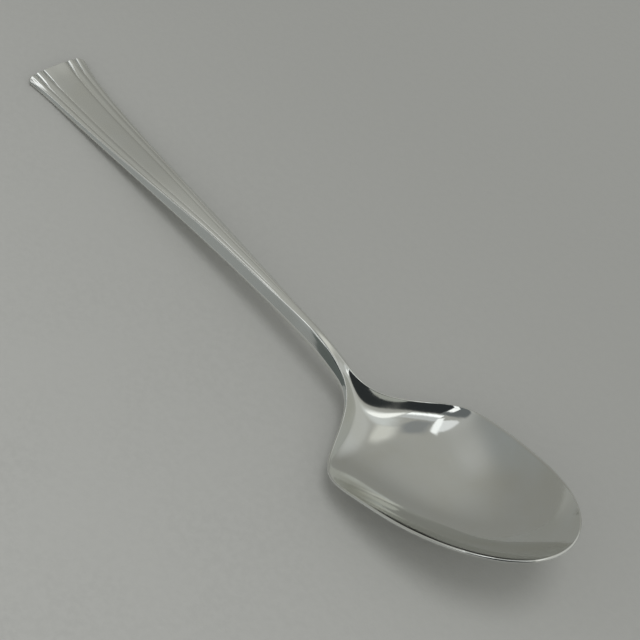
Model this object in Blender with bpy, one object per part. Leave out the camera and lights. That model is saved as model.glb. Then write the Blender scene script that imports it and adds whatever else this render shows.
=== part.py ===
# A one-piece tablespoon, lying on a table as in use: metres, Z up, +X from the handle's end to the bowl's tip.
import math

import bmesh
import bpy
import numpy as np
from mathutils import Matrix

# Whole spoon
LENGTH = 0.200            # handle end to bowl tip
BOWL_LENGTH = 0.071       # start of the shoulders to the tip
BOWL_WIDTH = 0.0412
END_WIDTH = 0.0176        # fan end of the handle
NECK_WIDTH = 0.0043

# Heights above the table
NECK_HEIGHT = 0.0100      # middle of the neck's side
TIP_HEIGHT = 0.0258       # rim at the bowl's tip
BOWL_DEPTH = 0.0097       # below the rim, at the deepest station

# Metal
NECK_THICKNESS = 0.0048
END_THICKNESS = 0.0019
SHEET_THICKNESS = 0.00125  # bottom of the bowl
RIM_BAND = 0.0008          # upright side of the rim
RIM_LAND = 0.0007          # flat of the rim, seen from above
END_ROUND = 0.0007         # half-round edge of the fan end
REST_FLAT = 0.00014        # worn flats where the spoon touches the table

# Fan handle and its reeds
END_FLARE = 0.0015         # extra half width right at the end
FLARE_REACH = 0.015
END_BOW = 0.0008           # the end's middle stands out past its corners
INNER_GROOVE = 0.00385     # groove lines from the middle line, at the end
OUTER_GROOVE = 0.0063
GROOVE_WIDTH = 0.0009
GROOVE_DEPTH = 0.00028

HANDLE_LENGTH = LENGTH - BOWL_LENGTH
WIDEST = 0.15              # share of the bowl before its sides draw in to the tip
HOLLOW_POWER = 2.3         # 2 is a parabola; more is a flatter floor with steeper walls

# Points across the top face of one section, from its left edge to its right edge
ACROSS_HOLLOW = 15
ACROSS_RIM = 3
ACROSS = ACROSS_HOLLOW + 2 * ACROSS_RIM


def smoothstep(low, high, x):
    t = np.clip((x - low) / (high - low), 0.0, 1.0)
    return t * t * (3.0 - 2.0 * t)


# Natural cubic curve through (station, value) pairs.
class Profile:
    def __init__(self, *knots):
        self.x = np.array([k[0] for k in knots])
        self.v = np.array([k[1] for k in knots])
        h = np.diff(self.x)
        slope = np.diff(self.v) / h
        system = np.diag(np.r_[1.0, 2.0 * (h[:-1] + h[1:]), 1.0])
        system[range(1, len(h)), range(len(h) - 1)] = h[:-1]
        system[range(1, len(h)), range(2, len(h) + 1)] = h[1:]
        self.bend = np.linalg.solve(system, np.r_[0.0, 6.0 * np.diff(slope), 0.0])

    def __call__(self, x):
        i = int(np.clip(np.searchsorted(self.x, x) - 1, 0, len(self.x) - 2))
        h = self.x[i + 1] - self.x[i]
        a = (self.x[i + 1] - x) / h
        b = (x - self.x[i]) / h
        lift = ((a ** 3 - a) * self.bend[i] + (b ** 3 - b) * self.bend[i + 1]) * h * h / 6.0
        return a * self.v[i] + b * self.v[i + 1] + lift


# Stations as shares of the handle and of the bowl
def on_handle(share):
    return share * HANDLE_LENGTH


def on_bowl(share):
    return HANDLE_LENGTH + share * BOWL_LENGTH


# Height of the section's widest line: the handle's side, then the bowl's rim
edge_height = Profile(
    (on_handle(0.0), 0.12 * NECK_HEIGHT),
    (on_handle(0.08), 0.135 * NECK_HEIGHT),
    (on_handle(0.39), 0.46 * NECK_HEIGHT),
    (on_handle(0.70), 0.84 * NECK_HEIGHT),
    (on_handle(0.87), 0.98 * NECK_HEIGHT),
    (on_handle(0.95), 1.00 * NECK_HEIGHT),
    (on_bowl(0.0), 0.93 * NECK_HEIGHT),
    (on_bowl(0.085), 0.295 * TIP_HEIGHT),
    (on_bowl(0.197), 0.223 * TIP_HEIGHT),
    (on_bowl(0.296), 0.275 * TIP_HEIGHT),
    (on_bowl(0.437), 0.424 * TIP_HEIGHT),
    (on_bowl(0.606), 0.597 * TIP_HEIGHT),
    (on_bowl(0.775), 0.783 * TIP_HEIGHT),
    (on_bowl(0.915), 0.926 * TIP_HEIGHT),
    (on_bowl(1.0), 1.0 * TIP_HEIGHT))

# Rounding of the top face above that line
crown_height = Profile(
    (on_handle(0.0), 0.40 * END_THICKNESS),
    (on_handle(0.39), 0.23 * NECK_THICKNESS),
    (on_handle(0.70), 0.365 * NECK_THICKNESS),
    (on_handle(0.87), 0.46 * NECK_THICKNESS),
    (on_handle(0.945), 0.46 * NECK_THICKNESS),
    (on_bowl(0.0), 0.31 * NECK_THICKNESS),
    (on_bowl(0.085), 0.17 * NECK_THICKNESS),
    (on_bowl(0.197), 0.06 * NECK_THICKNESS),
    (on_bowl(0.32), 0.03 * NECK_THICKNESS),
    (on_bowl(1.0), 0.02 * NECK_THICKNESS))

# Depth of the hollow below the crown, zero along the handle
HOLLOW_START = on_handle(0.93)
hollow_depth = Profile(
    (HOLLOW_START, 0.0),
    (on_handle(0.99), 0.09 * BOWL_DEPTH),
    (on_bowl(0.07), 0.275 * BOWL_DEPTH),
    (on_bowl(0.17), 0.43 * BOWL_DEPTH),
    (on_bowl(0.296), 0.61 * BOWL_DEPTH),
    (on_bowl(0.437), 0.88 * BOWL_DEPTH),
    (on_bowl(0.606), 1.0 * BOWL_DEPTH),
    (on_bowl(0.775), 0.875 * BOWL_DEPTH),
    (on_bowl(0.915), 0.465 * BOWL_DEPTH),
    (on_bowl(1.0), 0.0))

# Metal between the top face and the underside, on the middle line
thickness = Profile(
    (on_handle(0.0), END_THICKNESS),
    (on_handle(0.39), 0.46 * NECK_THICKNESS),
    (on_handle(0.70), 0.72 * NECK_THICKNESS),
    (on_handle(0.87), 0.94 * NECK_THICKNESS),
    (on_handle(0.945), 1.0 * NECK_THICKNESS),
    (on_bowl(0.015), 0.83 * NECK_THICKNESS),
    (on_bowl(0.127), 0.48 * NECK_THICKNESS),
    (on_bowl(0.25), 1.12 * SHEET_THICKNESS),
    (on_bowl(0.437), 1.0 * SHEET_THICKNESS),
    (on_bowl(0.80), 0.92 * SHEET_THICKNESS),
    (on_bowl(1.0), 0.76 * SHEET_THICKNESS))


# How far the neck has opened into the bowl: 0 along the handle, 1 in the bowl
def shoulder(x):
    run = max(0.0, x - HANDLE_LENGTH) / (0.218 * BOWL_LENGTH)
    return 1.0 - math.exp(-run ** 2.9)


def fan_taper(x):
    apex = 0.87 * HANDLE_LENGTH
    width = 0.5 * (END_WIDTH - NECK_WIDTH) - END_FLARE
    soft = 0.13 * width
    run = width * (1.0 - x / apex)
    flare = END_FLARE * math.exp(-x / FLARE_REACH)
    return 0.5 * (run + math.hypot(run, soft)) + flare


def tip_closing(x):
    run = (x - on_bowl(WIDEST)) / (LENGTH - on_bowl(WIDEST))
    return max(0.0, 1.0 - max(0.0, run) ** 3) ** 0.45


def half_width(x):
    opened = shoulder(x)
    return ((1.0 - opened) * (0.5 * NECK_WIDTH + fan_taper(x)) + opened * 0.5 * BOWL_WIDTH) * tip_closing(x)


# 1 where the reeds are full, 0 from just before the neck
def reed_share(x):
    return 1.0 - smoothstep(on_handle(0.62), on_handle(0.82), x)


def groove_lines(x):
    inner = INNER_GROOVE * (1.0 - x / on_handle(0.845))
    outer = OUTER_GROOVE * (1.0 - x / on_handle(0.915))
    half = 0.5 * GROOVE_WIDTH * (1.0 - 0.6 * x / on_handle(0.85))
    return inner, outer, half


# Half width of the reeded face, which becomes the mouth of the hollow
def mouth_half_width(x):
    inner, outer, half = groove_lines(x)
    land = RIM_LAND + (0.37 * NECK_WIDTH - RIM_LAND) * (1.0 - smoothstep(on_handle(0.93), on_bowl(0.15), x))
    wide = half_width(x)
    neck_mouth = wide * (1.0 - min(0.8, land / max(wide, land)))
    reeds = reed_share(x)
    return reeds * (outer + half) + (1.0 - reeds) * neck_mouth


# Distances from the middle line of the points across half of the top face
def spread(x):
    inner, outer, half = groove_lines(x)
    mouth = mouth_half_width(x)
    wide = half_width(x)
    count = ACROSS_HOLLOW // 2
    even = mouth * np.arange(count + 1) / count
    reeded = np.array([0.0, 0.5 * (inner - half), inner - half, inner, inner + half,
                       outer - half, outer, outer + half])
    reeds = reed_share(x)
    face = reeds * reeded + (1.0 - reeds) * even
    rim = mouth + (wide - mouth) * np.array([0.45, 0.8, 1.0])
    return np.r_[face, rim]


# One closed section as (x, y, z) points: the top face left to right, then the underside back
def section(x, squash):
    wide = half_width(x)
    mouth = mouth_half_width(x)
    edge = edge_height(x)
    crown = crown_height(x)
    hollow = max(0.0, hollow_depth(x)) if x > HOLLOW_START else 0.0
    opened = shoulder(x)
    flatness = 5.0 - 2.8 * smoothstep(0.0, on_handle(0.85), x)
    band = RIM_BAND * (0.45 + 0.55 * opened)
    bottom = edge + crown - hollow - thickness(x)
    half_row = spread(x)
    row = np.r_[-half_row[:0:-1], half_row]
    share = np.clip(np.abs(row) / max(wide, 1e-9), 0.0, 1.0)
    in_mouth = np.clip(np.abs(row) / max(mouth, 1e-9), 0.0, 1.0)
    top = edge + crown * (1.0 - share ** flatness) ** (1.0 / flatness)
    top -= hollow * (1.0 - in_mouth ** HOLLOW_POWER)
    groove = np.zeros(len(half_row))
    groove[[3, 6]] = GROOVE_DEPTH * reed_share(x)
    top -= np.r_[groove[:0:-1], groove]
    backing = 1.6 + 0.2 * flatness
    rounded = (1.0 - share ** backing) ** (1.0 / backing)
    dished = 1.0 - share ** HOLLOW_POWER
    under = edge - band - (edge - band - bottom) * ((1.0 - opened) * rounded + opened * dished)
    middle = 0.5 * (top + under)
    top = middle + (top - middle) * squash
    under = middle + (under - middle) * squash
    bow = END_BOW * (row / (0.5 * END_WIDTH)) ** 2 * (1.0 - smoothstep(0.0, FLARE_REACH, x))
    draw_in = RIM_LAND * smoothstep(on_bowl(WIDEST), LENGTH, x)
    inside = np.clip((np.abs(row) / max(wide, 1e-9) - 1.0) / (mouth / max(wide, 1e-9) - 1.0), 0.0, 1.0)
    along_top = x + bow - draw_in * inside
    along_under = x + bow
    over = np.stack([along_top, row, top], axis=1)
    back = np.stack([along_under, row, under], axis=1)[::-1]
    return np.vstack([over, back])


# Stations along the spoon with the share of full thickness at each
def stations():
    quarter = np.linspace(0.0, 0.5 * math.pi, 4)
    rounded_end = [(END_ROUND * (1.0 - math.cos(a)), math.sin(a)) for a in quarter]
    handle = np.linspace(END_ROUND, on_handle(0.87), 26)[1:]
    neck = np.linspace(on_handle(0.87), on_bowl(0.0), 9)[1:]
    shoulders = np.linspace(on_bowl(0.0), on_bowl(0.34), 19)[1:]
    to_tip = on_bowl(0.34) + 0.66 * BOWL_LENGTH * np.sin(np.linspace(0.0, 0.5 * math.pi, 18))[1:]
    return rounded_end + [(x, 1.0) for x in np.r_[handle, neck, shoulders, to_tip]]


# Turn the spoon about Y until the handle's end and the bowl both touch the table, then wear the flats.
def settle(mesh):
    split = on_handle(0.6)
    for _ in range(12):
        low_end = min((v.co for v in mesh.verts if v.co.x < split), key=lambda co: co.z)
        low_bowl = min((v.co for v in mesh.verts if v.co.x >= split), key=lambda co: co.z)
        tilt = math.atan2(low_bowl.z - low_end.z, low_bowl.x - low_end.x)
        bmesh.ops.rotate(mesh, verts=mesh.verts, cent=low_end, matrix=Matrix.Rotation(tilt, 3, "Y"))
    ground = min(v.co.z for v in mesh.verts) + REST_FLAT
    for v in mesh.verts:
        v.co.z = max(v.co.z, ground)
    ends = [v.co.x for v in mesh.verts]
    bmesh.ops.translate(mesh, verts=mesh.verts, vec=(-0.5 * (min(ends) + max(ends)), 0.0, -ground))


def build_spoon():
    rings = [section(x, squash) for x, squash in stations()]
    around = 2 * ACROSS
    mesh = bmesh.new()
    bmesh.ops.create_grid(mesh, x_segments=len(rings) - 1, y_segments=around, size=0.5)
    for v in mesh.verts:
        station = round((v.co.x + 0.5) * (len(rings) - 1))
        point = round((v.co.y + 0.5) * around) % around
        v.co = rings[station][point]
    bmesh.ops.remove_doubles(mesh, verts=mesh.verts, dist=1e-6)
    settle(mesh)
    bmesh.ops.recalc_face_normals(mesh, faces=mesh.faces)
    for face in mesh.faces:
        face.smooth = True
    data = bpy.data.meshes.new("spoon")
    mesh.to_mesh(data)
    mesh.free()
    return data


def silver():
    material = bpy.data.materials.new("silver")
    material.use_nodes = True
    shader = material.node_tree.nodes["Principled BSDF"]
    shader.inputs["Base Color"].default_value = (0.80, 0.79, 0.76, 1.0)
    shader.inputs["Metallic"].default_value = 1.0
    shader.inputs["Roughness"].default_value = 0.15
    return material


for old in list(bpy.data.objects):
    bpy.data.objects.remove(old, do_unlink=True)
spoon = bpy.data.objects.new("spoon", build_spoon())
spoon.data.materials.append(silver())
bpy.context.scene.collection.objects.link(spoon)
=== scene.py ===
import math

import bmesh
import bpy
import numpy as np
from mathutils import Matrix, Vector


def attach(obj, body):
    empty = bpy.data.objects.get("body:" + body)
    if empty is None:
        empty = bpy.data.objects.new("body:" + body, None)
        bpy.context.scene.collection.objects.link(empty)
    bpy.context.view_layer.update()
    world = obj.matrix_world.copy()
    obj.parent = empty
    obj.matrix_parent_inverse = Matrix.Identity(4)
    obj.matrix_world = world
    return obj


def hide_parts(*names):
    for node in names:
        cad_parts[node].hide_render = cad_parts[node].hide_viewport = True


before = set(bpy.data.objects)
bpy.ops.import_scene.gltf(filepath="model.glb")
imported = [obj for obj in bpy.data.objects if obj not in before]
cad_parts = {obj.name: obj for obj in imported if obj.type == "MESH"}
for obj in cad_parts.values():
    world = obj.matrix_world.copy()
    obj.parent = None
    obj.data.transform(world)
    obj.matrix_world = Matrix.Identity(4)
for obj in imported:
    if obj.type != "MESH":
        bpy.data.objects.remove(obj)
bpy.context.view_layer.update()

print("frame loaded:", sorted(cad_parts))

# One piece of polished silver: a top sheet, a rolled edge all the way round, and an underside.
# Metres, x runs from the handle's end to the bowl's tip until the spoon is laid on the table.
spoonForm = {
    "length": 0.200, "bowlLength": 0.071, "bowlWidth": 0.0412, "endWidth": 0.0176, "neckWidth": 0.0043,
    "neckHeight": 0.0100, "tipHeight": 0.0258, "bowlDepth": 0.0097,
    "neckThick": 0.0048, "endThick": 0.0019, "sheetThick": 0.00125,
    "openShare": 0.218, "openPower": 2.9,  # how fast the neck opens, as a share of the bowl
    "tipShare": 0.15, "tipPower": 3.3,  # where the bowl begins to close, and how bluntly
    "fanShare": 0.87, "fanBlend": 0.13,  # where the fan's straight sides would meet, as a share of the handle
    "endFlare": 0.0015, "flareReach": 0.015, "endBow": 0.00045, "cornerRound": 0.0010,
    "endLift": 0.00028, "liftReach": 0.010, "liftPower": 2.2,  # the end turns up a little
    "endSkew": 0.085, "skewReach": 0.013,  # and was cut a little out of square
    "rimBand": 0.00055, "handleBand": 0.45, "rimRound": 0.00020, "softEdge": 0.00022, "restFlat": 0.00014,
    "noseTurn": 0.30, "rimTurn": 0.10, "rimBulge": 0.45,  # fullness of the rolled edge
    "grooveWidth": 0.0007, "grooveDepth": 0.00008, "grooveTaper": 0.6, "grooveReach": 0.62,
    "beadRise": 0.00008, "panelRise": 0.00009, "reedFade": (0.70, 0.875), "reedStop": 0.88,
    "endReed": 2.6, "endDish": 0.00020, "endRoll": 0.00016, "reedReach": 0.0055,  # bolder reeds at the end
    "endRows": 40, "handleRows": 112, "neckRows": 44, "backRows": 92, "neckStart": 0.86,
    "frontRows": 90, "frontShare": 0.40,
    "panelSteps": 12, "grooveSteps": 6, "beadSteps": 8, "borderSteps": 8,
    "turnSteps": 4, "bandSteps": 2, "heelSteps": 6, "joinGap": 2e-7, "restTurns": 12}

handleLength = spoonForm["length"] - spoonForm["bowlLength"]
millimetre = 0.001
upward = np.array([0.0, 0.0, 1.0])


# 0 below low, 1 above high, smooth between
def smoothRamp(low, high, x):
    t = np.clip((x - low) / (high - low), 0.0, 1.0)
    return t ** 3 * (t * (6.0 * t - 15.0) + 10.0)


# Natural cubic curve through (station, value) pairs, straight beyond its ends
def curveThrough(*knots):
    at = np.array([k[0] for k in knots])
    value = np.array([k[1] for k in knots])
    step = np.diff(at)
    slope = np.diff(value) / step
    system = np.diag(np.r_[1.0, 2.0 * (step[:-1] + step[1:]), 1.0])
    system[range(1, len(step)), range(len(step) - 1)] = step[:-1]
    system[range(1, len(step)), range(2, len(step) + 1)] = step[1:]
    bend = np.linalg.solve(system, np.r_[0.0, 6.0 * np.diff(slope), 0.0])
    firstSlope = slope[0] - step[0] * bend[1] / 6.0
    lastSlope = slope[-1] + step[-1] * bend[-2] / 6.0

    def curve(x):
        x = np.asarray(x, float)
        inside = np.clip(x, at[0], at[-1])
        i = np.clip(np.searchsorted(at, inside) - 1, 0, len(at) - 2)
        h = step[i]
        a = (at[i + 1] - inside) / h
        b = 1.0 - a
        lift = ((a ** 3 - a) * bend[i] + (b ** 3 - b) * bend[i + 1]) * h * h / 6.0
        beyond = np.where(x < at[0], firstSlope, lastSlope) * (x - inside)
        return a * value[i] + b * value[i + 1] + lift + beyond

    return curve


def onHandle(share):
    return share * handleLength


def onBowl(share):
    return handleLength + share * spoonForm["bowlLength"]


# Knots for a curve: shares along the handle or the bowl, and values in a unit
def handleKnots(unit, *pairs):
    return [(onHandle(share), value * unit) for share, value in pairs]


def bowlKnots(unit, *pairs):
    return [(onBowl(share), value * unit) for share, value in pairs]


# Height of the widest line: the handle's side, then the bowl's rim
sideCurve = curveThrough(
    *handleKnots(spoonForm["neckHeight"], (0, 0.12), (0.08, 0.135), (0.39, 0.46), (0.70, 0.84),
                 (0.87, 0.98), (0.95, 1.0)),
    *bowlKnots(spoonForm["neckHeight"], (0, 0.93)),
    *bowlKnots(spoonForm["tipHeight"], (0.085, 0.295), (0.197, 0.223), (0.296, 0.275), (0.437, 0.424),
               (0.606, 0.597), (0.775, 0.783), (0.915, 0.926), (1, 1)))

# Rise from that line up the side facet to the top face, and the rounding of the face itself
facetRise = curveThrough(
    (0.0, 0.32 * spoonForm["endThick"]),
    *handleKnots(spoonForm["neckThick"], (0.39, 0.188), (0.60, 0.285), (0.70, 0.325), (0.87, 0.442),
                 (0.945, 0.455)),
    *bowlKnots(spoonForm["neckThick"], (0, 0.30), (0.04, 0.21), (0.085, 0.108), (0.16, 0.04), (0.28, 0.012),
               (1, 0.006)))
faceRound = curveThrough(
    (0.0, 0.085 * spoonForm["endThick"]),
    *handleKnots(spoonForm["neckThick"], (0.39, 0.042), (0.70, 0.038), (0.87, 0.018), (0.97, 0.0)),
    *bowlKnots(0.0, (0.1, 0), (1, 0)))

# Depth of the hollow below the top face, and its section: 2 is round, more has a flatter floor
hollowCurve = curveThrough(
    *bowlKnots(spoonForm["bowlDepth"], (-0.03, 0), (0.03, 0.048), (0.06, 0.130), (0.10, 0.255), (0.20, 0.415),
               (0.31, 0.553), (0.43, 0.800), (0.56, 1.0), (0.67, 1.045), (0.79, 0.925),
               (0.93, 0.398), (1, 0)))
hollowCurl = curveThrough(
    *bowlKnots(1.0, (0.06, 1.40), (0.13, 1.58), (0.24, 2.45), (0.36, 2.38), (0.50, 2.2), (0.75, 2.0),
               (1, 2.3)))

# Metal between the top face and the underside, on the middle line
metalThick = curveThrough(
    (0.0, spoonForm["endThick"]),
    *handleKnots(spoonForm["neckThick"], (0.39, 0.46), (0.70, 0.72), (0.87, 0.94), (0.945, 1.0)),
    *bowlKnots(spoonForm["neckThick"], (0.015, 0.83), (0.127, 0.48)),
    *bowlKnots(spoonForm["sheetThick"], (0.25, 1.52), (0.37, 1.62), (0.50, 1.52), (0.65, 1.24), (0.80, 1.0),
               (1, 0.76)))

# Width of the rolled edge seen from above: the handle's side facet, then the bowl's rim
edgeZone = curveThrough(
    *handleKnots(millimetre, (0, 0.62), (0.30, 0.75), (0.45, 1.12), (0.60, 1.58), (0.75, 1.50), (0.87, 1.70),
                 (0.95, 1.85)),
    *bowlKnots(millimetre, (0, 1.62), (0.04, 1.14), (0.09, 0.62), (0.16, 0.44), (0.28, 0.44), (1, 0.44)))

# Rounding of the facet's upper edge, and width of the turn under the side
crispEdge = curveThrough(
    *handleKnots(millimetre, (0, 0.16), (0.25, 0.08), (0.50, 0.06), (0.75, 0.07), (0.86, 0.22), (0.93, 0.42)),
    *bowlKnots(millimetre, (0.04, 0.34), (0.12, 0.16), (1, 0.16)))
heelZone = curveThrough(
    *handleKnots(millimetre, (0, 0.60), (0.40, 0.80), (0.87, 0.90)),
    *bowlKnots(millimetre, (0.10, 0.70), (0.28, 0.45), (1, 0.45)))

# Width of the outer reed along the face's border, and of the bead beside it, as far as their grooves
outerReed = curveThrough(
    *handleKnots(millimetre, (0, 1.90), (0.10, 1.42), (0.30, 0.72), (0.45, 0.42), (0.60, 0.26), (0.88, 0.12)))
innerReed = curveThrough(
    *handleKnots(millimetre, (0, 2.45), (0.30, 1.76), (0.45, 1.40), (0.60, 1.02), (0.75, 0.64), (0.88, 0.26)))


def edgeHeight(x):
    lift = np.maximum(0.0, 1.0 - x / spoonForm["liftReach"]) ** spoonForm["liftPower"]
    return sideCurve(x) + spoonForm["endLift"] * lift


def hollowDepth(x):
    return np.maximum(0.0, hollowCurve(x)) * smoothRamp(onBowl(-0.04), onBowl(0.03), x)


def hollowPower(x):
    return hollowCurl(np.clip(x, onBowl(0.05), onBowl(1.0)))


# 5 is a flat face with round edges, 2 is an ellipse
def faceFlatness(x):
    return 5.0 - 2.8 * smoothRamp(0.0, onHandle(0.85), x)


# How far the neck has opened into the bowl: 0 along the handle, 1 in the bowl
def openedShare(x):
    run = np.maximum(0.0, x - handleLength) / (spoonForm["openShare"] * spoonForm["bowlLength"])
    return 1.0 - np.exp(-run ** spoonForm["openPower"])


def fanTaper(x):
    form = spoonForm
    width = 0.5 * (form["endWidth"] - form["neckWidth"]) - form["endFlare"]
    run = width * (1.0 - x / onHandle(form["fanShare"]))
    flare = form["endFlare"] * np.exp(-x / form["flareReach"])
    return 0.5 * (run + np.hypot(run, form["fanBlend"] * width)) + flare


# Half width before the tip closes, and of the whole spoon; the tip closes like an ellipse, so it has no point
def bodyHalf(x):
    opened = openedShare(x)
    shank = 0.5 * spoonForm["neckWidth"] + fanTaper(x)
    return (1.0 - opened) * shank + opened * 0.5 * spoonForm["bowlWidth"]


def halfWidth(x):
    start = onBowl(spoonForm["tipShare"])
    run = np.clip((x - start) / (spoonForm["length"] - start), 0.0, 1.0)
    return bodyHalf(x) * np.sqrt(1.0 - run ** spoonForm["tipPower"])


# Way out of the outline at a station on its left side
def sideNormal(x):
    h = 1e-5
    slope = (halfWidth(x + h) - halfWidth(x - h)) / (2.0 * h)
    size = np.sqrt(1.0 + slope * slope)
    return -slope / size, 1.0 / size


# 1 where the reeds are full, 0 from just before the neck
def reedShare(x):
    start, stop = spoonForm["reedFade"]
    return 1.0 - smoothRamp(onHandle(start), onHandle(stop), x)


# 1 at the handle's end, where the reeds stand out most, fading along it
def endShare(x):
    return np.exp(-(x / spoonForm["reedReach"]) ** 2)


# Both grooves on one side of the middle line, and half of a groove's width
def grooveLines(x):
    form = spoonForm
    at = np.minimum(x, onHandle(form["reedStop"]))
    outer = halfWidth(at) - edgeZone(at) - outerReed(at)
    inner = outer - innerReed(at)
    taper = 1.0 - form["grooveTaper"] * at / onHandle(0.85)
    half = np.minimum(0.5 * form["grooveWidth"] * taper, 0.3 * innerReed(at))
    return inner, outer, half


def grooveSink(x, y, reach):
    inner, outer, _ = grooveLines(x)
    return np.exp(-((y - inner) / reach) ** 2) + np.exp(-((y - outer) / reach) ** 2)


# How far across the panel, the bead beside it and the border reed a point lies, each 0 to 1
def reedPlaces(x, y, face):
    inner, outer, _ = grooveLines(x)
    panel = np.clip(y / inner, 0.0, 1.0)
    bead = np.clip((y - inner) / (outer - inner), 0.0, 1.0)
    border = np.clip((y - outer) / np.maximum(face - outer, 1e-6), 0.0, 1.0)
    return panel, bead, border


# Two rounded reeds on each side of a plain panel, parted by narrow grooves; the panel is dished at the end
def reedRelief(x, y, face):
    form = spoonForm
    half = grooveLines(x)[2]
    panel, bead, border = reedPlaces(x, y, face)
    sink = grooveSink(x, y, form["grooveReach"] * half)
    boldness = half / (0.5 * form["grooveWidth"]) * (1.0 + form["endReed"] * endShare(x))
    rise = form["beadRise"] * (np.sin(math.pi * bead) ** 2 + np.sin(math.pi * border) ** 2 * (border < 1.0))
    rise = rise + form["panelRise"] * (1.0 - panel ** 4)
    dish = form["endDish"] * np.cos(0.5 * math.pi * panel) ** 2
    dish = dish + form["endRoll"] * np.clip(y / face, 0.0, 1.0) ** 4
    return reedShare(x) * boldness * (rise - form["grooveDepth"] * sink) - dish * endShare(x)


# Where dirt stays in the grooves, and where use polishes the handle to a lighter tint that is also painted
# highlight, 0 to 1
def grooveShade(x, across):
    y = across * (bodyHalf(x) - edgeZone(x))
    reach = np.maximum(spoonForm["grooveReach"] * grooveLines(x)[2], 0.1 * millimetre)
    return np.clip(grooveSink(x, y, reach), 0.0, 1.0) * reedShare(x) * (0.4 + 0.6 * endShare(x))


# Lighter tint on the reed crests, the grip and the handle's end: wear, and painted highlight where the crests
# catch the light
def reedWearAndSheen(x, across):
    face = bodyHalf(x) - edgeZone(x)
    _, bead, border = reedPlaces(x, across * face, face)
    reeds = 0.6 * reedShare(x) * np.maximum(np.sin(math.pi * bead) ** 2, np.sin(math.pi * border) ** 2)
    gripWearAndSheen = smoothRamp(onHandle(0.28), onHandle(0.56), x) * (1.0 - smoothRamp(onHandle(0.80), onBowl(0.02), x))
    return np.maximum(reeds, np.maximum(gripWearAndSheen, endShare(x)))


# Height of the top face, of the side's upright band, and of the underside, at a station and a share across
def topHeight(x, across):
    face = bodyHalf(x) - edgeZone(x)
    z = edgeHeight(x) + facetRise(x) + faceRound(x) * (1.0 - across ** faceFlatness(x))
    return z - hollowDepth(x) * (1.0 - across ** hollowPower(x)) + reedRelief(x, across * face, face)


def bandHeight(x):
    least = spoonForm["handleBand"]
    return spoonForm["rimBand"] * (least + (1.0 - least) * openedShare(x))


def underHeight(x, across):
    share = across * (1.0 - heelZone(x) / bodyHalf(x))
    opened = openedShare(x)
    top = edgeHeight(x) - bandHeight(x)
    bottom = edgeHeight(x) + facetRise(x) + faceRound(x) - hollowDepth(x) - metalThick(x)
    backing = 1.6 + 0.2 * faceFlatness(x)
    rounded = (1.0 - share ** backing) ** (1.0 / backing)
    dished = 1.0 - share ** hollowPower(x)
    return top - (top - bottom) * ((1.0 - opened) * rounded + opened * dished)


# Shares across half of the top face, gathered at the grooves on the handle and even in the bowl
def acrossShares(x):
    form = spoonForm
    inner, outer, half = grooveLines(x)
    face = halfWidth(x) - edgeZone(x)
    ridge = min(half, 0.6 * (face - outer))
    anchors = [0.0, inner - half, inner + half, outer - half, outer + ridge, face]
    steps = [form[k + "Steps"] for k in ("panel", "groove", "bead", "groove", "border")]
    row = [0.0]
    for low, high, count in zip(anchors[:-1], anchors[1:], steps):
        row += list(low + (high - low) * np.arange(1, count + 1) / count)
    even = np.linspace(0.0, 1.0, len(row))
    gathered = 1.0 - float(smoothRamp(onHandle(0.87), onHandle(0.97), x))
    if gathered <= 0.0:
        return even
    return gathered * np.array(row) / face + (1.0 - gathered) * even


# Stations along the spoon, closest at the handle's end, as far as the bowl's round front
def rowStations():
    form = spoonForm
    reach = form["flareReach"]
    quarter = np.linspace(0.0, 0.5 * math.pi, form["endRows"])
    marks = [reach, onHandle(form["neckStart"]), onBowl(0.0), onBowl(form["frontShare"])]
    counts = [form["handleRows"], form["neckRows"], form["backRows"]]
    stretches = [np.linspace(a, b, n)[1:] for a, b, n in zip(marks[:-1], marks[1:], counts)]
    return np.r_[reach * (1.0 - np.cos(quarter)) ** 1.3, np.concatenate(stretches)]


# Straight rows across the handle and the bowl's back, then a round front whose rows wrap the tip.
# For each point of half the plan: its station, its share across, and its place drawn in by a zone's width.
def planGrid(zone):
    form = spoonForm
    front = onBowl(form["frontShare"])
    tipRun = form["length"] - front
    rows = rowStations()
    turns = np.sin(np.linspace(0.0, 0.5 * math.pi, form["frontRows"] + 1))[1:]
    halfCount = len(acrossShares(0.0))
    shape = (len(rows) + len(turns), halfCount)
    station, across, x, y = (np.zeros(shape) for _ in range(4))
    for i, at in enumerate(rows):
        across[i] = acrossShares(at)
        station[i] = at
        outX, outY = sideNormal(at)
        x[i] = at - outX * zone(at) * across[i] ** 2
        y[i] = across[i] * (halfWidth(at) - outY * zone(at))
        fade = max(0.0, 1.0 - at / form["flareReach"]) ** 2
        x[i] += zone(0.0) * fade
        x[i] += fade * (form["endBow"] * across[i] ** 2 + form["cornerRound"] * across[i] ** 16)
    almostOne = 1.0 - 1e-7
    v = np.linspace(0.0, 1.0, halfCount)
    for i, u in enumerate(turns, start=len(rows)):
        p = np.minimum(u * np.sqrt(1.0 - 0.5 * v * v), almostOne)
        q = v * math.sqrt(1.0 - 0.5 * u * u)
        station[i] = front + p * tipRun
        across[i] = np.minimum(1.0, q / np.sqrt(1.0 - p * p))
        reachOut = np.hypot(p, q)
        rimStation = front + np.minimum(p / np.maximum(reachOut, 1e-9), almostOne) * tipRun
        outX, outY = sideNormal(np.minimum(rimStation, form["length"] - 2e-5))
        outX = np.where(v == 0.0, 1.0, outX)
        outY = np.where(v == 0.0, 0.0, outY)
        x[i] = station[i] - outX * zone(station[i]) * reachOut ** 2
        y[i] = across[i] * halfWidth(station[i]) - outY * zone(station[i]) * reachOut
    return station, across, x, y


# Half of a sheet opened out to both sides of the middle line
def bothSides(half):
    return np.concatenate([half[:, :0:-1], half], axis=1)


def sheetPoints(zone, height):
    station, across, x, y = planGrid(zone)
    left = np.stack([x, y, height(station, across)], axis=2)
    right = left * np.array([1.0, -1.0, 1.0])
    return np.concatenate([right[:, :0:-1], left], axis=1), bothSides(station), bothSides(across)


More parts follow.
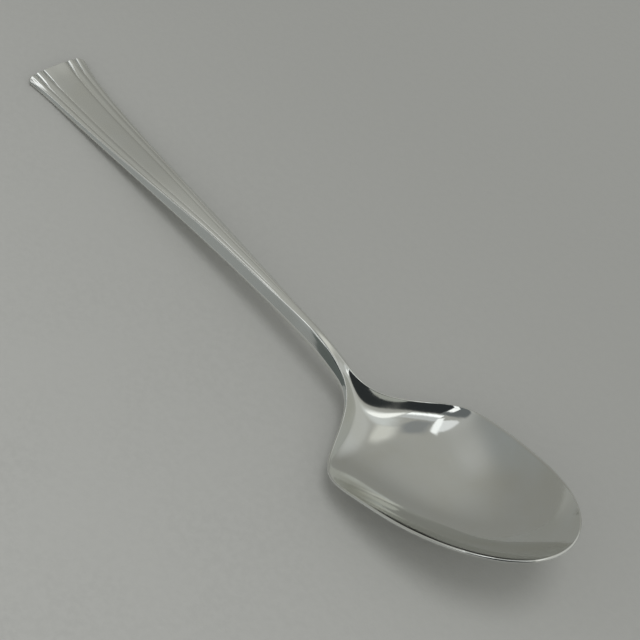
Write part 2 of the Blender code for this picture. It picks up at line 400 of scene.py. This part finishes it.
# Grid indices round the border of a sheet
def borderLoop(rows, columns):
    loop = [(i, 0) for i in range(rows)]
    loop += [(rows - 1, j) for j in range(1, columns)]
    loop += [(i, columns - 1) for i in range(rows - 2, -1, -1)]
    loop += [(0, j) for j in range(columns - 2, 0, -1)]
    return loop


# A sheet's border points and, for each, the point one step in from it
def borderPoints(points, loop):
    rows, columns = points.shape[:2]
    i, j = np.array(loop).T
    return points[i, j], points[np.clip(i, 1, rows - 2), np.clip(j, 1, columns - 2)]


def unitLong(arrows):
    return arrows / np.linalg.norm(arrows, axis=1)[:, None]


# Way a sheet runs on past its border: straight out, rising or falling as the sheet does
def runsOn(border, inner, out):
    step = border - inner
    rise = step[:, 2] / np.linalg.norm(step[:, :2], axis=1)
    return unitLong(out + rise[:, None] * upward)


def curl(a, b, c, share):
    rest = 1.0 - share
    return rest * rest * a + 2.0 * rest * share * b + share * share * c


def bezier(a, b, c, d, share):
    rest = 1.0 - share
    return rest ** 3 * a + 3.0 * rest * rest * share * b + 3.0 * rest * share * share * c + share ** 3 * d


# The rolled edge as rings from the top sheet's border, over the side, to the underside's border.
# Along the shank it is a flat facet between two crisp edges; at the fan end and the bowl, a rounded nose.
def edgeRings(top, under, station, loop):
    form = spoonForm
    i, j = np.array(loop).T
    at = station[i, j]
    start, behind = borderPoints(top, loop)
    along = np.roll(start, -1, axis=0) - np.roll(start, 1, axis=0)
    out = unitLong(np.stack([along[:, 1], -along[:, 0], 0.0 * along[:, 0]], axis=1))
    leave = runsOn(start, behind, out)
    opened, zone, heel = (curve(at)[:, None] for curve in (openedShare, edgeZone, heelZone))
    side = start + out * zone
    side[:, 2] = edgeHeight(at) - form["rimRound"] * openedShare(at)
    low = side.copy()
    low[:, 2] = edgeHeight(at) - bandHeight(at) + form["rimRound"] * openedShare(at)
    finish = side - out * heel
    finish[:, 2] = underHeight(at, np.ones(len(at)))
    under[i, j] = finish
    arrive = runsOn(*borderPoints(under, loop), out)
    drop = np.maximum(start[:, 2] - side[:, 2], 0.0)[:, None]
    lower = np.maximum(low[:, 2] - finish[:, 2], 0.0)[:, None]
    turn = form["noseTurn"] * zone + form["rimTurn"] * opened * zone
    steep = (1.0 - opened) * (0.25 * drop + 0.15 * zone) + opened * form["rimBulge"] * form["rimRound"]
    crisp = np.minimum(crispEdge(at)[:, None], 0.25 * zone)
    soft = np.minimum(form["softEdge"], 0.25 * zone)
    corner = start + leave * crisp
    slope = unitLong(side - corner)
    folds = [(start, corner, corner + slope * crisp),
             (corner + slope * crisp, 0.5 * (corner + side), side - slope * soft),
             (side - slope * soft, side, side - 0.6 * soft * upward)]
    shank = smoothRamp(onHandle(0.12), onHandle(0.42), at)
    rounded = np.clip(1.0 - shank + openedShare(at), 0.0, 1.0)[:, None]
    rings = []
    turns = form["turnSteps"]
    for k in range(3 * turns):
        facet = curl(*folds[k // turns], (k % turns + 1) / turns)
        nose = bezier(start, start + leave * turn, side + steep * upward, side, (k + 1) / (3 * turns))
        rings.append(facet + (nose - facet) * rounded)
    last = rings[-1]
    for k in range(1, form["bandSteps"] + 1):
        rings.append(last + (low - last) * k / form["bandSteps"])
    below = low - 0.5 * lower * upward
    beside = finish + arrive * 0.5 * heel
    for k in range(1, form["heelSteps"] + 1):
        rings.append(bezier(low, below, beside, finish, k / form["heelSteps"]))
    return rings


# Wear and painted highlight on each ring: bright on the facet's edges, less on the facet and under it
def ringWearAndSheen(count):
    turns = spoonForm["turnSteps"]
    crest = np.sin(math.pi * np.arange(1, turns + 1) / (turns + 1))
    return np.r_[crest, np.full(turns, 0.15), np.full(turns, 0.7), np.full(count - 3 * turns, 0.4)]


# Turn the spoon about Y until the handle's end and the bowl both touch the table, then wear the flats
def layOnTable(mesh):
    split = onHandle(0.6)
    for _ in range(spoonForm["restTurns"]):
        lowEnd = min((v.co for v in mesh.verts if v.co.x < split), key=lambda co: co.z)
        lowBowl = min((v.co for v in mesh.verts if v.co.x >= split), key=lambda co: co.z)
        tilt = math.atan2(lowBowl.z - lowEnd.z, lowBowl.x - lowEnd.x)
        bmesh.ops.rotate(mesh, verts=mesh.verts, cent=lowEnd, matrix=Matrix.Rotation(tilt, 3, "Y"))
    ground = min(v.co.z for v in mesh.verts) + spoonForm["restFlat"]
    for v in mesh.verts:
        v.co.z = max(v.co.z, ground)
    ends = [v.co.x for v in mesh.verts]
    bmesh.ops.translate(mesh, verts=mesh.verts, vec=(-0.5 * (min(ends) + max(ends)), 0.0, -ground))


# A sheet of faces through a grid of points, with its border numbered and its marks set
def gridSheet(mesh, points, borderTag=None, loop=(), marks=()):
    rows, columns = points.shape[:2]
    made = bmesh.ops.create_grid(mesh, x_segments=rows - 1, y_segments=columns - 1, size=0.5)["verts"]
    number = {place: k + 1 for k, place in enumerate(loop)}
    for v in made:
        i = round((v.co.x + 0.5) * (rows - 1))
        j = round((v.co.y + 0.5) * (columns - 1))
        if borderTag:
            v[borderTag] = number.get((i, j), 0)
        for layer, values in marks:
            v[layer] = float(values[i, j])
        v.co = points[i, j]


# Top sheet, rolled edge and underside joined into one closed mesh
def buildSpoon():
    top, station, across = sheetPoints(edgeZone, topHeight)
    under = sheetPoints(heelZone, underHeight)[0]
    loop = borderLoop(*station.shape)
    rings = edgeRings(top, under, station, loop)
    mesh = bmesh.new()
    borderTag = mesh.verts.layers.int.new("border")
    grooveTag = mesh.verts.layers.float.new("groove")
    # A lighter tint per point, from wear and from painted highlight
    wearAndSheenTag = mesh.verts.layers.float.new("wearAndSheen")
    marks = [(grooveTag, grooveShade(station, across)), (wearAndSheenTag, reedWearAndSheen(station, across))]
    gridSheet(mesh, top, borderTag, loop, marks)
    rim = [e for e in mesh.edges if e.is_boundary]
    for ring, worn in zip(rings, ringWearAndSheen(len(rings))):
        made = bmesh.ops.extrude_edge_only(mesh, edges=rim)["geom"]
        fresh = set(g for g in made if isinstance(g, bmesh.types.BMVert))
        for v in fresh:
            v.co = ring[v[borderTag] - 1]
            v[wearAndSheenTag] = worn
            v[grooveTag] = 0.0
        rim = [g for g in made if isinstance(g, bmesh.types.BMEdge) and set(g.verts) <= fresh]
    gridSheet(mesh, under)
    bmesh.ops.remove_doubles(mesh, verts=mesh.verts, dist=spoonForm["joinGap"])
    mesh.verts.layers.int.remove(borderTag)
    for v in mesh.verts:
        nearEnd = max(0.0, 1.0 - v.co.x / spoonForm["skewReach"])
        v.co.x -= spoonForm["endSkew"] * v.co.y * nearEnd ** 2
    layOnTable(mesh)
    bmesh.ops.recalc_face_normals(mesh, faces=mesh.faces)
    for face in mesh.faces:
        face.smooth = True
    data = bpy.data.meshes.new("spoonBody")
    mesh.to_mesh(data)
    print("spoon:", len(mesh.verts), "points,", len(mesh.faces), "faces, open edges",
          sum(1 for e in mesh.edges if not e.is_manifold))
    mesh.free()
    return data


spoon = bpy.data.objects.new("spoonBody", buildSpoon())
bpy.context.scene.collection.objects.link(spoon)
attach(spoon, "root")
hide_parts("spoon")


# Short ways to lay out shader nodes; a value is a number, a colour or another node's socket
def addNode(tree, kind, **settings):
    node = tree.nodes.new(kind)
    for key, value in settings.items():
        setattr(node, key, value)
    return node


def feed(tree, socket, value):
    if isinstance(value, bpy.types.NodeSocket):
        tree.links.new(value, socket)
    else:
        socket.default_value = value


def reckon(tree, operation, first, second):
    node = addNode(tree, "ShaderNodeMath", operation=operation)
    feed(tree, node.inputs[0], first)
    feed(tree, node.inputs[1], second)
    return node.outputs[0]


def remap(tree, value, start, end, low=0.0, high=1.0):
    node = addNode(tree, "ShaderNodeMapRange", interpolation_type="SMOOTHSTEP")
    amounts = {"Value": value, "From Min": start, "From Max": end, "To Min": low, "To Max": high}
    for name, amount in amounts.items():
        feed(tree, node.inputs[name], amount)
    return node.outputs["Result"]


def blend(tree, share, under, over):
    node = addNode(tree, "ShaderNodeMix", data_type="RGBA")
    feed(tree, node.inputs["Factor"], share)
    for name, colour in (("A", under), ("B", over)):
        socket = [x for x in node.inputs if x.name == name and x.type == "RGBA"][0]
        feed(tree, socket, (*colour, 1.0) if isinstance(colour, tuple) else colour)
    return [x for x in node.outputs if x.type == "RGBA"][0]


def speckle(tree, coords, stretch, scale, detail=3.0, roughness=0.5):
    turned = addNode(tree, "ShaderNodeMapping")
    turned.inputs["Scale"].default_value = stretch
    tree.links.new(coords, turned.inputs["Vector"])
    noise = addNode(tree, "ShaderNodeTexNoise")
    tree.links.new(turned.outputs["Vector"], noise.inputs["Vector"])
    for name, amount in {"Scale": scale, "Detail": detail, "Roughness": roughness}.items():
        noise.inputs[name].default_value = amount
    return noise.outputs["Fac"]


def bumped(tree, height, distance, before=None):
    node = addNode(tree, "ShaderNodeBump")
    node.inputs["Distance"].default_value = distance
    tree.links.new(height, node.inputs["Height"])
    if before is not None:
        tree.links.new(before, node.inputs["Normal"])
    return node.outputs["Normal"]


def newFinish(name):
    made = bpy.data.materials.new(name)
    made.use_nodes = True
    return made, made.node_tree, made.node_tree.nodes["Principled BSDF"]


# The object's own coordinates, together and as X, Y and Z
def ownPlace(tree):
    coords = addNode(tree, "ShaderNodeTexCoord").outputs["Object"]
    axes = addNode(tree, "ShaderNodeSeparateXYZ")
    tree.links.new(coords, axes.inputs[0])
    return coords, axes.outputs


evenly = (1.0, 1.0, 1.0)

# Polished silver: a crisp bowl, a handle dulled by lengthwise scratches, dirty grooves, bright worn edges;
# the lighter worn tint on edges, reed crests and the handle is wear and painted highlight
silverFinish = {
    "metal": (0.702, 0.712, 0.690), "warm": (0.668, 0.665, 0.612), "worn": (0.865, 0.872, 0.845),
    "dirt": (0.47, 0.465, 0.420), "warmShare": 0.55, "wornShare": 0.9, "handledSheenShare": 0.25,
    "handleTo": -0.02, "bowlFrom": 0.045,  # along x, where the handle's finish gives way to the bowl's
    "bowlRough": 0.055, "handleRough": 0.135, "smudgeRough": 0.045, "dirtRough": 0.15, "polishGloss": 0.02,
    "smudgeScale": 85.0, "scratchScale": 900.0, "scratchStretch": (0.035, 1.0, 1.0), "scratchDepth": 4e-6,
    "waveScale": 55.0, "waveStretch": (0.6, 1.0, 1.0), "waveDepth": 1.2e-5}


def silverMaterial():
    finish = silverFinish
    silver, tree, shader = newFinish("polishedSilver")
    shader.inputs["Metallic"].default_value = 1.0
    coords, place = ownPlace(tree)

    def timesShare(socket, key):
        return reckon(tree, "MULTIPLY", socket, finish[key])

    def alongSpoon(onHandleValue, onBowlValue):
        return remap(tree, place["X"], finish["handleTo"], finish["bowlFrom"], onHandleValue, onBowlValue)

    groove = addNode(tree, "ShaderNodeAttribute", attribute_name="groove").outputs["Fac"]
    wearAndSheen = addNode(tree, "ShaderNodeAttribute", attribute_name="wearAndSheen").outputs["Fac"]
    smudge = speckle(tree, coords, evenly, finish["smudgeScale"], detail=4.0, roughness=0.55)
    smudge = remap(tree, smudge, 0.34, 0.68)
    stretch = finish["scratchStretch"]
    scratch = speckle(tree, coords, stretch, finish["scratchScale"], detail=2.0, roughness=0.6)
    waves = speckle(tree, coords, finish["waveStretch"], finish["waveScale"], detail=1.0)
    tint = blend(tree, timesShare(smudge, "warmShare"), finish["metal"], finish["warm"])
    # Painted highlight together with wear: edges, reed crests, the grip and the end tinted lighter
    handledSheen = alongSpoon(finish["handledSheenShare"], 0.0)
    wearSheenShare = reckon(tree, "MAXIMUM", timesShare(wearAndSheen, "wornShare"), handledSheen)
    tint = blend(tree, wearSheenShare, tint, finish["worn"])
    inGrooves = reckon(tree, "MULTIPLY", groove, remap(tree, scratch, 0.2, 0.6, low=0.65, high=0.95))
    tree.links.new(blend(tree, inGrooves, tint, finish["dirt"]), shader.inputs["Base Color"])
    rough = alongSpoon(finish["handleRough"], finish["bowlRough"])
    rough = reckon(tree, "ADD", rough, timesShare(smudge, "smudgeRough"))
    rough = reckon(tree, "SUBTRACT", rough, timesShare(wearAndSheen, "polishGloss"))
    rough = reckon(tree, "ADD", rough, timesShare(groove, "dirtRough"))
    tree.links.new(rough, shader.inputs["Roughness"])
    normal = bumped(tree, waves, finish["waveDepth"])
    tree.links.new(bumped(tree, scratch, finish["scratchDepth"], normal), shader.inputs["Normal"])
    return silver


spoon.data.materials.append(silverMaterial())
print("silver finished")

# Camera where the photograph was taken from, square picture
cameraSetup = {"target": (0.00865, 0.01075, 0.0), "azimuth": 44.152, "elevation": 47.218, "roll": 12.835,
               "distance": 0.39569, "focalLength": 91.92, "sensor": 36.0, "nearClip": 0.01}


def placeCamera():
    setup = cameraSetup
    turn, lift, roll = (math.radians(setup[k]) for k in ("azimuth", "elevation", "roll"))
    ahead = Vector((-math.sin(turn) * math.cos(lift), math.cos(turn) * math.cos(lift), -math.sin(lift)))
    right = ahead.cross(Vector((0.0, 0.0, 1.0))).normalized()
    up = right.cross(ahead)
    across = right * math.cos(roll) + up * math.sin(roll)
    above = up * math.cos(roll) - right * math.sin(roll)
    lens = bpy.data.cameras.new("camera")
    lens.sensor_width = setup["sensor"]
    lens.lens = setup["focalLength"]
    lens.clip_start = setup["nearClip"]
    camera = bpy.data.objects.new("camera", lens)
    turned = Matrix((across, above, -ahead)).transposed().to_4x4()
    camera.matrix_world = Matrix.Translation(Vector(setup["target"]) - ahead * setup["distance"]) @ turned
    bpy.context.scene.collection.objects.link(camera)
    bpy.context.scene.camera = camera


placeCamera()
print("camera placed")

# Pale matt floor with a painted light falloff: colour painted lighter towards the near side and darker away
# from it, with a faint mottle
floorFinish = {"half": 2.0, "near": (0.690, 0.698, 0.675), "far": (0.510, 0.517, 0.496),
               "fadeFrom": -0.17, "fadeTo": 0.10, "stain": (0.520, 0.528, 0.508), "stainShare": 0.30,
               "cloudScale": 26.0, "grainScale": 520.0, "grainDepth": 0.00006,
               "leastRough": 0.55, "mostRough": 0.75}


def layFloor():
    finish = floorFinish
    mesh = bmesh.new()
    bmesh.ops.create_grid(mesh, x_segments=2, y_segments=2, size=finish["half"])
    data = bpy.data.meshes.new("floor")
    mesh.to_mesh(data)
    mesh.free()
    floor = bpy.data.objects.new("floor", data)
    bpy.context.scene.collection.objects.link(floor)
    pale, tree, shader = newFinish("paleFloor")
    coords, place = ownPlace(tree)
    cloud = speckle(tree, coords, evenly, finish["cloudScale"], detail=5.0, roughness=0.6)
    cloud = remap(tree, cloud, 0.30, 0.72)
    grain = speckle(tree, coords, evenly, finish["grainScale"], detail=3.0, roughness=0.6)
    # Painted light falloff: lighter colour near, darker far along Y
    shade = remap(tree, place["Y"], finish["fadeFrom"], finish["fadeTo"])
    colour = blend(tree, shade, finish["near"], finish["far"])
    spots = reckon(tree, "MULTIPLY", cloud, remap(tree, grain, 0.35, 0.65))
    spots = reckon(tree, "MULTIPLY", spots, finish["stainShare"])
    tree.links.new(blend(tree, spots, colour, finish["stain"]), shader.inputs["Base Color"])
    rough = remap(tree, grain, 0.3, 0.7, finish["leastRough"], finish["mostRough"])
    tree.links.new(rough, shader.inputs["Roughness"])
    tree.links.new(bumped(tree, grain, finish["grainDepth"]), shader.inputs["Normal"])
    data.materials.append(pale)


layFloor()
print("floor laid")


# Way from the table towards a compass angle and a height, in degrees
def towards(compass, height):
    turn = math.radians(compass)
    lift = math.radians(height)
    return Vector((math.cos(turn) * math.cos(lift), math.sin(turn) * math.cos(lift), math.sin(lift)))


overhead = (-90, 90)
frontSide = (-90, 0)

# Studio round the spoon: a soft grey room with a lit ceiling, dark flags and bright strips, all far away.
# A card faces the table from a compass angle and a height, in degrees; its corners are slopes across and up
# from there, soft is how far its edges fade, and light is what it sends back. Later cards cover earlier ones.
studioSetup = {
    "low": (0.300, 0.303, 0.283), "high": (0.430, 0.433, 0.405), "backdrop": (0.62, 0.62, 0.60),
    "nearWay": (0.697, -0.717, 0.0), "roomNear": (0.690, 0.690, 0.669), "roomFar": (0.112, 0.112, 0.110),
    "sunFrom": (-34.0, 77.5), "sunSize": 24.0, "sunLight": 0.54,
    "cards": {
        "sideGlow": {
            "at": (45, 36), "soft": 0.20, "light": (0.565, 0.575, 0.555),
            "corners": [(-0.95, -0.62), (0.95, -0.62), (1.05, 0.60), (-1.05, 0.60)]},
        "litCeiling": {
            "at": overhead, "soft": 0.12, "light": (0.72, 0.745, 0.735),
            "corners": [(-0.12, 0.20), (0.40, -0.16), (0.90, -0.20), (0.85, 0.10), (0.10, 0.30)]},
        "litCorner": {
            "at": overhead, "soft": 0.08, "light": (0.74, 0.745, 0.70),
            "corners": [(-0.64, 0.64), (-0.54, 0.46), (-0.14, 0.16), (0.12, 0.26), (-0.36, 0.78)]},
        "dimCeiling": {
            "at": overhead, "soft": 0.07, "light": (0.285, 0.297, 0.297),
            "corners": [(-0.68, 0.14), (-0.44, -0.18), (0.00, -0.15), (0.00, -0.02), (-0.20, 0.16),
                        (-0.52, 0.32)]},
        "paleBand": {
            "at": overhead, "soft": 0.02, "light": (0.62, 0.64, 0.64),
            "corners": [(-0.44, -0.33), (0.60, -0.33), (0.52, -0.19), (-0.42, -0.19)]},
        "strip": {
            "at": overhead, "soft": 0.02, "light": (1.5, 1.55, 1.55),
            "corners": [(-0.42, -0.385), (0.66, -0.385), (0.62, -0.315), (-0.40, -0.315)]},
        "lamp": {
            "at": overhead, "soft": 0.04, "light": (1.3, 1.32, 1.30),
            "corners": [(0.47, -0.02), (0.52, -0.16), (0.70, -0.36), (0.90, -0.33), (0.66, 0.04)]},
        "blueWall": {
            "at": (-135, 20), "soft": 0.14, "light": (0.320, 0.335, 0.328),
            "corners": [(-0.35, -0.50), (0.50, -0.50), (0.50, 0.40), (-0.35, 0.40)]},
        "paleSide": {
            "at": overhead, "soft": 0.13, "light": (0.50, 0.505, 0.485),
            "corners": [(-0.90, -0.04), (-0.78, -0.24), (-0.95, -0.50), (-1.70, -0.92), (-1.76, -0.74),
                        (-1.24, -0.28)]},
        "flag": {
            "at": frontSide, "soft": 0.02, "light": (0.030, 0.034, 0.036),
            "corners": [(-0.48, -0.60), (2.70, -0.60), (2.70, 1.95), (1.20, 2.36), (-0.48, 2.40)]},
        "flagSide": {
            "at": frontSide, "soft": 0.02, "light": (0.120, 0.135, 0.130),
            "corners": [(-0.51, 0.15), (-0.20, 0.15), (-0.20, 1.20), (-0.48, 1.20), (-0.63, 0.66),
                        (-0.63, 0.45)]},
        "lowSide": {
            "at": frontSide, "soft": 0.02, "light": (0.320, 0.330, 0.320),
            "corners": [(-0.72, -0.60), (-0.14, -0.60), (-0.20, 0.14), (-0.72, 0.15)]},
        "wedge": {
            "at": frontSide, "soft": 0.025, "light": (0.155, 0.168, 0.170),
            "corners": [(-2.10, 1.66), (-1.80, 1.35), (-0.47, 1.35), (-0.47, 2.45), (-1.50, 2.42),
                        (-2.12, 1.95)]},
        "post": {
            "at": frontSide, "soft": 0.02, "light": (1.35, 1.37, 1.37),
            "corners": [(-1.02, 1.50), (-0.52, 1.55), (-0.55, 1.95), (-1.00, 1.90)]},
        "window": {
            "at": overhead, "soft": 0.015, "light": (0.90, 0.92, 0.92),
            "corners": [(-0.79, 0.03), (-0.70, 0.02), (-0.42, -0.38), (-0.95, -0.41), (-1.24, -0.52),
                        (-0.92, -0.17)]},
        "windowEdge": {
            "at": overhead, "soft": 0.02, "light": (1.25, 1.28, 1.28),
            "corners": [(-0.80, 0.03), (-0.70, 0.06), (-0.39, -0.28), (-0.52, -0.34), (-0.70, -0.18)]},
    }}


def dressWorld():
    setup = studioSetup
    world = bpy.data.worlds.new("studio")
    bpy.context.scene.world = world
    world.use_nodes = True
    tree = world.node_tree
    looking = addNode(tree, "ShaderNodeTexCoord").outputs["Generated"]

    def along(direction):
        dot = addNode(tree, "ShaderNodeVectorMath", operation="DOT_PRODUCT")
        tree.links.new(looking, dot.inputs[0])
        dot.inputs[1].default_value = direction
        return dot.outputs["Value"]

    colour = blend(tree, remap(tree, along((0.0, 0.0, 1.0)), 0.25, 0.85), setup["low"], setup["high"])
    for name, card in setup["cards"].items():
        middle = towards(*card["at"])
        turn = math.radians(card["at"][0])
        right = Vector((-math.sin(turn), math.cos(turn), 0.0))
        corners = [middle + a * right + b * middle.cross(right) for a, b in card["corners"]]
        centre = sum(corners, Vector()) / len(corners)
        share = remap(tree, along(middle), 0.0, 0.04)
        for here, there in zip(corners, corners[1:] + corners[:1]):
            side = here.cross(there).normalized()
            side = side if side.dot(centre) > 0.0 else -side
            share = reckon(tree, "MULTIPLY", share, remap(tree, along(side), -card["soft"], card["soft"]))
        colour = blend(tree, share, colour, card["light"])
        colour.node.label = name
    rays = addNode(tree, "ShaderNodeLightPath").outputs
    nearSide = remap(tree, along(setup["nearWay"]), -1.0, 1.0)
    room = blend(tree, nearSide, setup["roomFar"], setup["roomNear"])
    colour = blend(tree, rays["Is Diffuse Ray"], colour, room)  # matt surfaces get plain soft light
    colour = blend(tree, rays["Is Camera Ray"], colour, setup["backdrop"])
    tree.links.new(colour, tree.nodes["Background"].inputs["Color"])


# Soft light on the table only, from high on the tip's side; it isn't seen in the metal
def placeSun():
    lamp = bpy.data.lights.new("softSun", "SUN")
    lamp.angle = math.radians(studioSetup["sunSize"])
    lamp.energy = studioSetup["sunLight"]
    sun = bpy.data.objects.new("softSun", lamp)
    sun.rotation_euler = towards(*studioSetup["sunFrom"]).to_track_quat("Z", "Y").to_euler()
    sun.visible_glossy = False
    bpy.context.scene.collection.objects.link(sun)


dressWorld()
placeSun()
bpy.context.scene.view_settings.view_transform = "Standard"
print("studio dressed:", len(studioSetup["cards"]), "cards")
